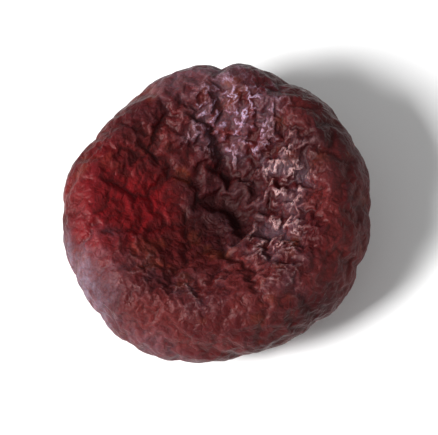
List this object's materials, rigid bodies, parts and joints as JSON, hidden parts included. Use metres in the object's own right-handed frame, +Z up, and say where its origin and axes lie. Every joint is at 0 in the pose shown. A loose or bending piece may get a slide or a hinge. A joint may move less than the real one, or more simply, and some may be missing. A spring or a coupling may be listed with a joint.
{
  "type": "dried apricot",
  "caption": "Whole dried apricot, stoned and unsulphured: a flattened dark red-brown fruit with a thick puffed rim round a sunken, wrinkled face.",
  "frame": {"origin": "on the surface the fruit lies on, under the middle of its outline", "axes": "+Z up, out of the sunken face; +X along the longest way across; -Y towards the low side of the rim"},
  "size_m": [0.0368, 0.0364, 0.0154],
  "materials": {
    "dried_skin": "dark red-brown wrinkled skin, dull with a grey-violet bloom on the folds, half glossy and glowing red where the flesh is thin"
  },
  "bodies": {
    "root": {"dried_apricot": "dried_skin"}
  },
  "joints": []
}
